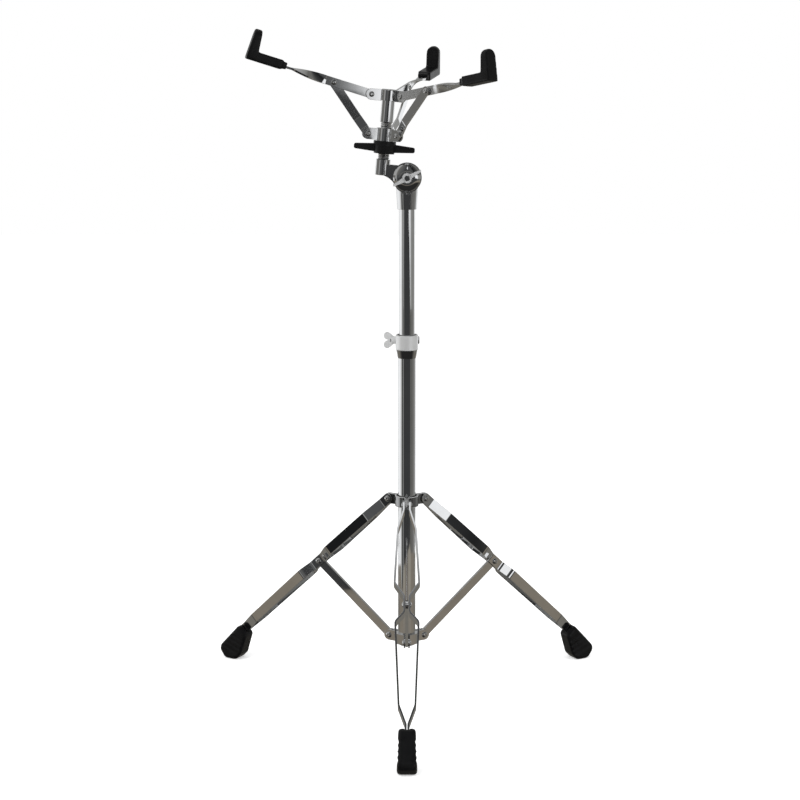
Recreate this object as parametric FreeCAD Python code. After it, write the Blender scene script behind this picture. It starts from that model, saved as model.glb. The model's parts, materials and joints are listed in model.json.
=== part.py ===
import FreeCAD, Part
import math
import os

# Tall snare drum stand: folding double-braced tripod, telescopic column,
# offset tilter and a three-armed basket.  Millimetres, +Z up, floor at Z = 0.
# The origin is on the floor under the column's axis.  One leg points to -Y.

Vec = FreeCAD.Vector

# Column tubes
lower_tube_radius = 12.7
lower_tube_wall = 1.2
upper_tube_radius = 11.1
upper_tube_wall = 1.2
lower_tube_top = 512.0
upper_tube_bottom = 350.0
upper_tube_top = 730.0
end_plug_rim = 3.0          # end plug below the lower tube
end_plug_chamfer = 1.5

# Clearances
running_fit = 0.05          # radial, pin in a hole that turns on it
side_gap = 0.3              # flat faces that slide past each other
seat_gap = 0.02             # radial, riveted or pressed pieces
loop_play = 1.6             # radial, rivets of the two driven legs in the leg collar's ears
collar_side_gap = 0.8       # leg collar's ears between the strips, on each side
collar_play = 1.1           # radial, leg collar on the lower tube
strut_play = 2.2            # radial, rivets of the sliding collar in the struts

# Tripod linkage, measured in the plane of one leg
leg_names = ("front", "right", "left")
front_leg_angle = -90.0     # about the column; the other legs follow in equal steps
leg_angle = 47.28           # leg from the vertical, legs spread
leg_link = 163.7            # top rivet to middle rivet
stay_length = 154.5         # middle rivet to bracket rivet
top_pivot_radius = 29.45
low_pivot_radius = 27.9

# Leg strips: distances along the leg from the top rivet, and half spans
strip_width = 14.0
strip_thickness = 2.5
strip_bend_radius = 9.0
top_pinch_end = 12.0
upper_flare_end = 44.0
upper_flare_half = 14.1
upper_bow_end = 131.0
upper_bow_half = 18.5
mid_pinch_start = 153.0
mid_pinch_end = 178.0
lower_flare_end = 193.0
lower_flare_half = 17.3
lower_bow_end = 319.0
lower_bow_half = 12.3
foot_pinch_start = 347.0
strip_end = 368.0
foot_pinch_gap = 0.8        # between the two strips inside the foot

stay_width = 12.5
stay_thickness = 4.0

# Pressed collars that carry the legs and the stays
sheet = 2.1
pressed_inner_radius = 14.7
pressed_height = 15.5
pressed_bend = 2.0
top_flange_gap = 0.5

# Rivets
rivet_radius = 2.5
rivet_head_radius = 4.6
rivet_head_height = 2.0

# Rubber feet, in the plane of one leg.  The mouth is set across the leg; the other
# corners are a reach outwards from the middle of the mouth and a height above the floor.
foot_mouth_at = 351.9       # along the leg from the top rivet
foot_mouth_height = 50.55
foot_outer_wall = 1.7       # rubber beyond each edge of the strips at the mouth
foot_inner_wall = 4.8
foot_sole_width = 27.4
foot_mouth_width = 23.2
foot_edge = 4.4
foot_back_reach = 3.0
foot_back_height = 9.0
foot_sole_start = 12.0
foot_sole_end = 32.0
foot_toe_reach = 44.0
foot_toe_height = 16.0
foot_toe_round = 10.0
foot_heel_round = 9.0
foot_mouth_round = 5.6
foot_groove_count = 4
foot_groove_radius = 5.0
foot_groove_depth = 1.1
foot_groove_first = 17.0    # height of the lowest groove above the middle of the sole
foot_groove_pitch = 8.4
foot_groove_angle = 22.0    # grooves rise towards the toe

# Lock screw of the leg collar
lock_boss_radius = 7.0
lock_boss_length = 7.5
lock_screw_radius = 4.0
lock_screw_stand_off = 2.5
lock_hub_radius = 6.5
lock_hub_length = 9.0
lock_wing_spread = 12.5     # middle of each wing's lobe from the screw's axis
lock_wing_lobe = 5.5
lock_wing_root = 3.0
lock_wing_thickness = 4.0
lock_wing_length = 12.0     # hub's foot to the middle of the lobe

# Height clamp
clamp_skirt_height = 12.0
clamp_skirt_edge = 0.4
clamp_band_lap = 2.0        # band over the end of the lower tube
clamp_band_height = 21.0
clamp_outer_radius = 16.0
clamp_edge = 0.7
clamp_bush_wall = 2.4
clamp_slit = 3.0
clamp_lug_reach = 25.0      # back face of the lugs from the axis
clamp_lug_half = 14.0
clamp_lug_margin = 1.6      # lug set in from the top and bottom of the band
clamp_lug_round = 3.0
clamp_bolt_radius = 3.0
clamp_bolt_wall = 2.2       # between the bush and the bolt
clamp_bolt_head_radius = 5.5
clamp_bolt_head = 4.0
clamp_bolt_end = 2.0        # thread beyond the wing nut's hub
clamp_nut_hub_radius = 5.5
clamp_nut_hub = 8.0
clamp_nut_spread = 6.4      # middle of each wing's lobe from the bolt's axis
clamp_nut_lobe = 5.0
clamp_nut_root = 3.0
clamp_nut_length = 13.8
clamp_nut_thickness = 5.0

# Guide ring on the end of the upper tube
guide_ring_height = 12.0
guide_spigot_radius = 9.4
guide_flange = 2.5

# Tilter
tilter_neck = 44.5          # bottom of the tilter base to the hub
tilter_floor = 2.4          # metal between the tube's end and the saddle
tilter_base_low_radius = 13.4
tilter_base_top_radius = 14.8
tilter_disc_radius = 20.5
tilter_disc_thickness = 8.6
tilter_base_disc_radius = 19.0
tilter_saddle_gap = 0.6
tilter_bolt_radius = 4.0
tilter_bolt_head_radius = 8.0
tilter_bolt_head = 4.5
tilter_bolt_end = 1.0       # thread beyond the wing nut's hub
tilter_nut_radius = 19.4
tilter_nut_rim = 2.2
tilter_nut_dome = 4.5
tilter_nut_bulge = 1.2      # roundness of the dome
tilter_nut_hub_radius = 6.5
tilter_nut_hub = 6.5
tilter_nut_reach = 20.5     # middle of each wing's end from the bolt's axis
tilter_nut_sweep = 1.6      # wing's end off the centre line
tilter_nut_root = 3.6
tilter_nut_tip = 1.3
tilter_nut_rise = 2.0       # wings above the hub
tilter_nut_angle = 33.0
tilter_washer_thickness = 1.5
tilter_washer_radius = 9.0
tilter_lean = 5.0           # lean of the basket to the right, as it stands
socket_offset = 35.0
socket_radius = 10.0
socket_height = 21.6
socket_floor = 4.0
socket_chamfer = 1.0
web_top = 15.5
web_top_end = 6.0           # top of the web from the bolt's axis
web_under_start = 2.0       # underside of the web from the socket's axis
web_under_angle = 31.8      # where the underside meets the disc
web_under_sag = 1.65
web_sink = 0.7              # web into the disc's rim

# Basket, in heights along its own axis above the tilter's hub
arm_names = ("back", "left", "right")
back_arm_angle = 71.7       # about the rod; the other arms follow in equal steps
thread_radius = 8.1
thread_spare = 8.2          # thread above the collar at rest
rod_radius = 9.2
rod_play = 0.3
nut_gap = 8.4               # thread in view between the socket and the wing nut
ring_height = 14.5
ring_wall = 3.0
ear_plate = 2.0
ear_radius = 7.8
basket_pivot_radius = 25.0
collar_height = 17.5
collar_wall = 3.0
rod_cap_height = 1.2
rod_cap_set_in = 1.0        # foot of the cap in from the ring's rim
rod_cap_slope = 1.5

arm_rise = 12.3             # arm above the basket's plane
arm_width = 12.0
arm_thickness = 3.0
arm_link = 54.8             # ring rivet to strut rivet
arm_twist_start = 66.0
arm_twist_end = 117.0
arm_bend_radius = 5.0
strut_length = 84.7
strut_width = 12.0
strut_thickness = 3.0
strut_crank_start = 10.0    # from the collar rivet; the strut steps from the clevis to the arm's side
strut_crank_end = 25.0
strut_bend_radius = 6.0
basket_rivet_radius = 2.0
basket_head_radius = 3.9
basket_head_height = 1.4

# Rubber tips, measured along the arm from the ring rivet
tip_start = 124.0
tip_step = 6.0
tip_outer = 181.0           # outer face of the upright at the sleeve and at the top
tip_outer_top = 178.5
tip_inner = 166.0           # inner face of the upright at the sleeve and at the top
tip_inner_top = 168.2
tip_below = 5.3
tip_above = 7.9
tip_top = 37.5
tip_width = 18.8
tip_step_in = 1.8
tip_edge = 1.6
arm_upturn_end = 28.0

# Basket wing nut
nut_height = 17.0
nut_top_radius = 15.7
nut_top_band = 6.0
nut_low_radius = 14.3
nut_span = 85.0
nut_wing_drop = 9.4         # middle of the wings below the nut's top
nut_wing_root = 13.0
nut_wing_tip = 7.0
nut_wing_thickness = 9.0
nut_wing_round = 2.5

# Worked out from the linkage, with the feet on the floor
leg_azimuths = {}
for index, name in enumerate(leg_names):
    leg_azimuths[name] = front_leg_angle + index * 360 / len(leg_names)
arm_azimuths = {}
for index, name in enumerate(arm_names):
    arm_azimuths[name] = back_arm_angle + index * 360 / len(arm_names)

leg_sine = math.sin(math.radians(leg_angle))
leg_cosine = math.cos(math.radians(leg_angle))
foot_mouth_radius = top_pivot_radius + foot_mouth_at * leg_sine
top_pivot_height = foot_mouth_height + foot_mouth_at * leg_cosine
mid_pivot_radius = top_pivot_radius + leg_link * leg_sine
mid_pivot_height = top_pivot_height - leg_link * leg_cosine
stay_angle = math.degrees(math.asin((mid_pivot_radius - low_pivot_radius) / stay_length))
low_pivot_height = mid_pivot_height - stay_length * math.cos(math.radians(stay_angle))

clamp_band_bottom = lower_tube_top - clamp_band_lap
clamp_top = clamp_band_bottom + clamp_band_height
tube_in_tilter = tilter_neck - tilter_disc_radius - tilter_saddle_gap - tilter_floor
tilter_base_bottom = upper_tube_top - tube_in_tilter
hub_height = tilter_base_bottom + tilter_neck

nut_bottom = socket_height + nut_gap
nut_top = nut_bottom + nut_height
collar_bottom = nut_top + side_gap
collar_pivot_height = collar_bottom + collar_height / 2
thread_end = collar_bottom + collar_height + thread_spare
arm_rivet_radius = basket_pivot_radius + arm_link * math.cos(math.radians(arm_rise))
strut_angle = math.degrees(math.asin((arm_rivet_radius - basket_pivot_radius) / strut_length))
arm_rivet_height = collar_pivot_height + strut_length * math.cos(math.radians(strut_angle))
ring_pivot_height = arm_rivet_height - arm_link * math.sin(math.radians(arm_rise))

# Half gaps between the strips, at the leg collar and at the stay
top_grip = top_flange_gap / 2 + sheet + collar_side_gap
mid_grip = stay_thickness / 2 + side_gap
stay_flange_gap = stay_thickness + 2 * side_gap
strut_offset = -(arm_thickness / 2 + side_gap + strut_thickness / 2)
strut_flange_gap = strut_thickness + 2 * side_gap

nodes = {}


def cylinder(radius, start, end):
    """Solid cylinder between two points."""
    along = end - start
    return Part.makeCylinder(radius, along.Length, start, along)


def tube(outer, inner, low, high):
    """Upright tube about the Z axis."""
    body = cylinder(outer, Vec(0, 0, low), Vec(0, 0, high))
    reach = high - low
    bore = cylinder(inner, Vec(0, 0, low - reach), Vec(0, 0, high + reach))
    return body.cut(bore)


def block(low, high):
    """Box between two corners."""
    size = high - low
    return Part.makeBox(size.x, size.y, size.z, low)


def polygon_face(points):
    """Flat face with straight sides."""
    return Part.Face(Part.makePolygon(list(points) + [points[0]]))


def turned(outline, axis):
    """Solid of revolution of (radius, height) points about an axis through the origin."""
    if axis.z:
        points = [Vec(radius, 0, height) for radius, height in outline]
    else:
        points = [Vec(radius, height, 0) for radius, height in outline]
    return polygon_face(points).revolve(Vec(0, 0, 0), axis, 360)


def moved(shape, offset):
    """Copy of a shape, shifted."""
    copy = shape.copy()
    copy.translate(offset)
    return copy


def rotated(shape, axis, angle):
    """Copy of a shape, turned about an axis through the origin."""
    copy = shape.copy()
    copy.rotate(Vec(0, 0, 0), axis, angle)
    return copy


def joined(first, *others):
    """One solid from shapes that meet."""
    return first.fuse(list(others)).removeSplitter()


def rounded_bar(start, end, half_width, low, high):
    """Flat bar along X with round ends beyond start and end, from low to high in Y."""
    half = half_width
    top = Part.LineSegment(Vec(start, low, half), Vec(end, low, half)).toShape()
    nose = Part.Arc(Vec(end, low, half), Vec(end + half, low, 0), Vec(end, low, -half)).toShape()
    base = Part.LineSegment(Vec(end, low, -half), Vec(start, low, -half)).toShape()
    tail = Part.Arc(Vec(start, low, -half), Vec(start - half, low, 0), Vec(start, low, half)).toShape()
    return Part.Face(Part.Wire([top, nose, base, tail])).extrude(Vec(0, high - low, 0))


def offset_path(points, bend_radius, shift):
    """Edges of a path in XY with round corners, moved sideways by shift."""
    runs = []
    for start, end in zip(points, points[1:]):
        along = end - start
        along.normalize()
        runs.append((start, end, along, Vec(-along.y, along.x, 0)))
    edges = []
    begin = runs[0][0] + runs[0][3] * shift
    for before, after in zip(runs, runs[1:]):
        corner = before[1]
        turn = math.atan2(before[2].cross(after[2]).z, before[2].dot(after[2]))
        side = math.copysign(1.0, turn)
        trim = bend_radius * math.tan(abs(turn) / 2)
        entry = corner - before[2] * trim
        leave = corner + after[2] * trim
        centre = entry + before[3] * (bend_radius * side)
        middle = corner - centre
        middle.normalize()
        middle = centre + middle * (bend_radius - side * shift)
        arc_start = entry + before[3] * shift
        arc_end = leave + after[3] * shift
        edges.append(Part.LineSegment(begin, arc_start).toShape())
        edges.append(Part.Arc(arc_start, middle, arc_end).toShape())
        begin = arc_end
    finish = runs[-1][1] + runs[-1][3] * shift
    edges.append(Part.LineSegment(begin, finish).toShape())
    return edges


def bent_strip(points, bend_radius, thickness, width):
    """Flat strip bent along a path in XY, its width along Z."""
    left = offset_path(points, bend_radius, thickness / 2)
    right = offset_path(points, bend_radius, -thickness / 2)
    first_cap = Part.LineSegment(left[0].Vertexes[0].Point, right[0].Vertexes[0].Point).toShape()
    last_cap = Part.LineSegment(left[-1].Vertexes[-1].Point, right[-1].Vertexes[-1].Point).toShape()
    outline = Part.Wire(Part.__sortEdges__(left + [last_cap] + right + [first_cap]))
    strip = Part.Face(outline).extrude(Vec(0, 0, width))
    return moved(strip, Vec(0, 0, -width / 2))


def rivet(low_grip, high_grip, radius, head_radius, head_height):
    """Rivet along Y with a low domed head beyond each end of its grip."""
    crown = head_radius * 0.55
    shoulder = head_height * 0.6
    return turned([
        (0, low_grip - head_height), (crown, low_grip - head_height),
        (head_radius, low_grip - head_height + shoulder), (head_radius, low_grip),
        (radius, low_grip), (radius, high_grip),
        (head_radius, high_grip), (head_radius, high_grip + head_height - shoulder),
        (crown, high_grip + head_height), (0, high_grip + head_height),
    ], Vec(0, 1, 0))


def in_leg(shape, azimuth):
    """From the leg's frame (X down the leg from the top rivet, Y across) to the stand."""
    tilted = rotated(shape, Vec(0, 1, 0), 90 - leg_angle)
    return rotated(moved(tilted, Vec(top_pivot_radius, 0, top_pivot_height)), Vec(0, 0, 1), azimuth)


def in_stay(shape, azimuth):
    """From the stay's frame (X up the stay from the bracket rivet) to the stand."""
    tilted = rotated(shape, Vec(0, 1, 0), stay_angle - 90)
    return rotated(moved(tilted, Vec(low_pivot_radius, 0, low_pivot_height)), Vec(0, 0, 1), azimuth)


def in_basket(shape):
    """From the basket's frame (Z up its rod from the hub's level) to the stand."""
    leaned = rotated(moved(shape, Vec(-socket_offset, 0, 0)), Vec(0, 1, 0), tilter_lean)
    return moved(leaned, Vec(0, 0, hub_height))


def in_arm(shape, azimuth):
    """From an arm's frame (X along the arm from its ring rivet) to the stand."""
    raised = rotated(shape, Vec(0, 1, 0), -arm_rise)
    placed = moved(raised, Vec(basket_pivot_radius, 0, ring_pivot_height))
    return in_basket(rotated(placed, Vec(0, 0, 1), azimuth))


def in_strut(shape, azimuth):
    """From a strut's frame (X up the strut from its collar rivet) to the stand."""
    raised = rotated(shape, Vec(0, 1, 0), strut_angle - 90)
    placed = moved(raised, Vec(basket_pivot_radius, 0, collar_pivot_height))
    return in_basket(rotated(placed, Vec(0, 0, 1), azimuth))


def pressed_plate(pivot_radius, flange_gap, first_hole, last_hole):
    """One third of a pressed collar, from the ear at azimuth 0 to the ear at 120 degrees."""
    third = 360 / len(leg_azimuths)
    outer = pressed_inner_radius + sheet
    half = pressed_height / 2
    far = 4 * outer
    ring = tube(outer, pressed_inner_radius, -half, half)
    corner = flange_gap / 2 / math.sin(math.radians(third / 2))
    bisector = math.radians(third / 2)
    apex = Vec(corner * math.cos(bisector), corner * math.sin(bisector), -half)
    along_first = Vec(far, flange_gap / 2, -half)
    along_last = Vec(far, -flange_gap / 2, -half)
    along_last = FreeCAD.Rotation(Vec(0, 0, 1), third).multVec(along_last)
    middle = Vec(far * math.cos(bisector), far * math.sin(bisector), -half)
    wedge = polygon_face([apex, along_first, middle, along_last]).extrude(Vec(0, 0, pressed_height))
    sector = ring.common(wedge)
    root = pressed_inner_radius + sheet * 0.3
    flange = block(Vec(root, flange_gap / 2, -half), Vec(pivot_radius, flange_gap / 2 + sheet, half))
    bend_y = flange_gap / 2 + sheet
    flange = flange.fuse(cylinder(half, Vec(pivot_radius, flange_gap / 2, 0), Vec(pivot_radius, bend_y, 0)))
    across = Vec(pivot_radius, -far, 0), Vec(pivot_radius, far, 0)
    first = flange.cut(cylinder(first_hole, *across))
    last = flange.cut(cylinder(last_hole, *across)).mirror(Vec(0, 0, 0), Vec(0, 1, 0))
    plate = joined(sector, first, rotated(last, Vec(0, 0, 1), third))
    bend_x = math.sqrt(outer ** 2 - bend_y ** 2)
    inside = [Vec(bend_x, bend_y, 0), FreeCAD.Rotation(Vec(0, 0, 1), third).multVec(Vec(bend_x, -bend_y, 0))]
    bends = []
    for edge in plate.Edges:
        centre = edge.CenterOfMass
        if any((centre - point).Length < sheet / 4 for point in inside):
            bends.append(edge)
    return plate.makeFillet(pressed_bend, bends)


def pressed_collar(prefix, pivot_radius, pivot_height, flange_gap, holes):
    """The three plates of a pressed collar, named by the side that they face."""
    spans = (("right", "front", "right"), ("back", "right", "left"), ("left", "left", "front"))
    for side, leg, next_leg in spans:
        plate = pressed_plate(pivot_radius, flange_gap, holes[leg], holes[next_leg])
        placed = rotated(moved(plate, Vec(0, 0, pivot_height)), Vec(0, 0, 1), leg_azimuths[leg])
        nodes[prefix + "_" + side] = placed


def pivot_rivets(pivot_radius, pivot_height, grip):
    """A rivet for each leg, in a ring about the column."""
    solids = []
    for azimuth in leg_azimuths.values():
        pin = rivet(-grip, grip, rivet_radius, rivet_head_radius, rivet_head_height)
        pin = moved(pin, Vec(pivot_radius, 0, pivot_height))
        solids.append(rotated(pin, Vec(0, 0, 1), azimuth))
    return Part.makeCompound(solids)


def leg_strip():
    """One strip of a leg, on the +Y side of the leg's frame."""
    middle = strip_thickness / 2
    mid_line = mid_grip + middle
    path = [
        Vec(-strip_width / 2, top_grip + middle, 0),
        Vec(top_pinch_end, top_grip + middle, 0),
        Vec(upper_flare_end, upper_flare_half - middle, 0),
        Vec(upper_bow_end, upper_bow_half - middle, 0),
        Vec(mid_pinch_start, mid_line, 0),
        Vec(mid_pinch_end, mid_line, 0),
        Vec(lower_flare_end, lower_flare_half - middle, 0),
        Vec(lower_bow_end, lower_bow_half - middle, 0),
        Vec(foot_pinch_start, foot_pinch_gap / 2 + middle, 0),
        Vec(strip_end, foot_pinch_gap / 2 + middle, 0),
    ]
    strip = bent_strip(path, strip_bend_radius, strip_thickness, strip_width)
    reach = upper_bow_half * 2
    strip = strip.common(rounded_bar(0, strip_end - strip_width / 2, strip_width / 2, -reach, reach))
    for place in (0, leg_link):
        strip = strip.cut(cylinder(rivet_radius + seat_gap, Vec(place, -reach, 0), Vec(place, reach, 0)))
    return strip


def foot_outline():
    """Side view of a rubber foot: straight mouth and sides, round heel, sole and toe."""
    inner = -strip_width / 2 - foot_inner_wall
    outer = strip_width / 2 + foot_outer_wall
    corners = [
        ((inner * leg_cosine, foot_mouth_height + inner * leg_sine), foot_mouth_round),
        ((foot_back_reach, foot_back_height), foot_heel_round),
        ((foot_sole_start, 0.0), foot_heel_round),
        ((foot_sole_end, 0.0), foot_toe_round),
        ((foot_toe_reach, foot_toe_height), foot_toe_round),
        ((outer * leg_cosine, foot_mouth_height + outer * leg_sine), foot_mouth_round),
    ]
    edges = []
    arcs = []
    count = len(corners)
    for index in range(count):
        here = Vec(corners[index][0][0], corners[index][0][1], 0)
        before = Vec(corners[index - 1][0][0], corners[index - 1][0][1], 0) - here
        after = Vec(corners[(index + 1) % count][0][0], corners[(index + 1) % count][0][1], 0) - here
        room = 0.48 * min(before.Length, after.Length)
        before.normalize()
        after.normalize()
        half = before.getAngle(after) / 2
        radius = min(corners[index][1], room * math.tan(half))
        trim = radius / math.tan(half)
        inward = before + after
        inward.normalize()
        centre = here + inward * (radius / math.sin(half))
        arcs.append((here + before * trim, centre - inward * radius, here + after * trim))
    for index in range(count):
        start, middle, end = arcs[index]
        edges.append(Part.Arc(start, middle, end).toShape())
        edges.append(Part.LineSegment(end, arcs[(index + 1) % count][0]).toShape())
    return Part.Wire(edges)


def foot(azimuth):
    """Rubber foot over the end of a leg, grooved on both sides."""
    wire = foot_outline()
    wire.rotate(Vec(0, 0, 0), Vec(1, 0, 0), 90)
    body = Part.Face(wire).extrude(Vec(0, 2 * foot_sole_width, 0))
    body = moved(body, Vec(0, -foot_sole_width, 0))
    top = body.BoundBox.ZMax
    reach = body.BoundBox.XLength
    taper = polygon_face([
        Vec(-reach, -foot_sole_width / 2, 0), Vec(-reach, foot_sole_width / 2, 0),
        Vec(-reach, foot_mouth_width / 2, top), Vec(-reach, -foot_mouth_width / 2, top),
    ]).extrude(Vec(3 * reach, 0, 0))
    body = body.common(taper)
    sides = [face for face in body.Faces if abs(face.normalAt(0, 0).y) > 0.9]
    rims = [edge for face in sides for edge in face.Edges]
    body = body.makeFillet(foot_edge, rims)
    slope = (foot_sole_width - foot_mouth_width) / 2 / top
    rise = math.radians(foot_groove_angle)
    along = Vec(math.cos(rise), 0, math.sin(rise)) * (2 * reach)
    for index in range(foot_groove_count):
        height = foot_groove_first + index * foot_groove_pitch
        face_at = foot_sole_width / 2 - slope * height
        for side in (-1, 1):
            across = side * (face_at + foot_groove_radius - foot_groove_depth)
            middle = Vec((foot_sole_start + foot_sole_end) / 2, across, height)
            body = body.cut(cylinder(foot_groove_radius, middle - along, middle + along))
    body = rotated(moved(body, Vec(foot_mouth_radius, 0, 0)), Vec(0, 0, 1), azimuth)
    half = foot_pinch_gap / 2 + strip_thickness
    pocket = rounded_bar(foot_pinch_start, strip_end - strip_width / 2, strip_width / 2, -half, half)
    return body.cut(in_leg(pocket, azimuth))


def make_legs():
    """Three legs of two strips each, with the rivets for the collar and the stay, and a foot."""
    strip = leg_strip()
    other = strip.mirror(Vec(0, 0, 0), Vec(0, 1, 0))
    pins = []
    for place, grip in ((0, top_grip), (leg_link, mid_grip)):
        face = grip + strip_thickness
        pin = rivet(-face, face, rivet_radius, rivet_head_radius, rivet_head_height)
        pins.append(moved(pin, Vec(place, 0, 0)))
    for name, azimuth in leg_azimuths.items():
        nodes["leg_" + name + "_strip_a"] = in_leg(strip, azimuth)
        nodes["leg_" + name + "_strip_b"] = in_leg(other, azimuth)
        nodes["leg_" + name + "_rivets"] = Part.makeCompound([in_leg(pin, azimuth) for pin in pins])
        nodes["foot_" + name] = foot(azimuth)


def make_stays():
    """Flat stays between the bracket and the legs."""
    half = stay_thickness / 2
    for name, azimuth in leg_azimuths.items():
        stay = rounded_bar(0, stay_length, stay_width / 2, -half, half)
        for place in (0, stay_length):
            stay = stay.cut(cylinder(rivet_radius + running_fit, Vec(place, -half, 0), Vec(place, half, 0)))
        nodes["stay_" + name] = in_stay(stay, azimuth)


def lobe(near, near_radius, far, far_radius, low, high):
    """Plate with two round ends joined by straight sides, in XZ, from low to high in Y."""
    along = far - near
    lean = math.acos((near_radius - far_radius) / along.Length)
    bearing = math.atan2(along.z, along.x)
    level = Vec(0, low, 0)
    upper = Vec(math.cos(bearing + lean), 0, math.sin(bearing + lean))
    lower = Vec(math.cos(bearing - lean), 0, math.sin(bearing - lean))
    sides = polygon_face([
        near + upper * near_radius + level, far + upper * far_radius + level,
        far + lower * far_radius + level, near + lower * near_radius + level,
    ])
    plate = sides.extrude(Vec(0, high - low, 0))
    for centre, radius in ((near, near_radius), (far, far_radius)):
        plate = plate.fuse(cylinder(radius, centre + level, centre + Vec(0, high, 0)))
    return plate


def wings(spread, length, root, tip, thickness):
    """Pair of lobed wings that lean out from the Z axis, thickness in Y."""
    half = thickness / 2
    near = Vec(0, 0, root)
    pair = [lobe(near, root, Vec(side * spread, 0, length), tip, -half, half) for side in (-1, 1)]
    return joined(*pair)


def make_leg_collar():
    """Sliding collar: pressed plates, plastic liner, and boss and lock screw at the back."""
    holes = {name: rivet_radius + loop_play for name in leg_names}
    holes["front"] = rivet_radius + running_fit
    pressed_collar("collar_plate", top_pivot_radius, top_pivot_height, top_flange_gap, holes)
    half = pressed_height / 2
    low = top_pivot_height - half
    high = top_pivot_height + half
    liner = tube(pressed_inner_radius, lower_tube_radius + collar_play, low, high)
    plate_outer = pressed_inner_radius + sheet
    boss_end = plate_outer + lock_boss_length
    middle = Vec(0, 0, top_pivot_height)
    boss_face = Vec(0, boss_end, top_pivot_height)
    screw_way = cylinder(lock_screw_radius + side_gap, middle, boss_face)
    nodes["collar_liner"] = liner.cut(screw_way)
    nodes["collar_plate_back"] = nodes["collar_plate_back"].cut(screw_way)

    boss = cylinder(lock_boss_radius, middle, boss_face)
    boss = boss.cut(cylinder(plate_outer, Vec(0, 0, low - half), Vec(0, 0, high + half)))
    boss = boss.cut(cylinder(lock_screw_radius + running_fit, middle, boss_face))
    nodes["collar_boss"] = boss

    tip = lower_tube_radius + collar_play + side_gap
    hub_start = boss_end + lock_screw_stand_off
    shank = cylinder(lock_screw_radius, Vec(0, 0, tip), Vec(0, 0, hub_start))
    hub = cylinder(lock_hub_radius, Vec(0, 0, hub_start), Vec(0, 0, hub_start + lock_hub_length))
    blade = wings(lock_wing_spread, lock_wing_length, lock_wing_root, lock_wing_lobe, lock_wing_thickness)
    screw = joined(shank, hub, moved(blade, Vec(0, 0, hub_start)))
    screw = rotated(rotated(screw, Vec(0, 0, 1), 90), Vec(1, 0, 0), -90)
    nodes["collar_wing_screw"] = moved(screw, middle)


def make_base():
    """Lower tube with its end plug, bracket sleeve, pressed bracket and bracket rivets."""
    half = pressed_height / 2
    bottom = low_pivot_height - half
    bore = lower_tube_radius - lower_tube_wall
    nodes["lower_tube"] = tube(lower_tube_radius, bore, bottom, lower_tube_top)
    face_radius = lower_tube_radius - end_plug_chamfer
    plug = turned([
        (0, -end_plug_rim), (face_radius, -end_plug_rim),
        (lower_tube_radius, end_plug_chamfer - end_plug_rim), (lower_tube_radius, 0),
        (bore, 0), (bore, pressed_height), (0, pressed_height),
    ], Vec(0, 0, 1))
    nodes["tube_end_plug"] = moved(plug, Vec(0, 0, bottom))
    nodes["bracket_sleeve"] = tube(pressed_inner_radius, lower_tube_radius, bottom, bottom + pressed_height)
    holes = {name: rivet_radius + seat_gap for name in leg_names}
    pressed_collar("bracket_plate", low_pivot_radius, low_pivot_height, stay_flange_gap, holes)
    grip = stay_flange_gap / 2 + sheet
    nodes["bracket_rivets"] = pivot_rivets(low_pivot_radius, low_pivot_height, grip)


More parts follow.
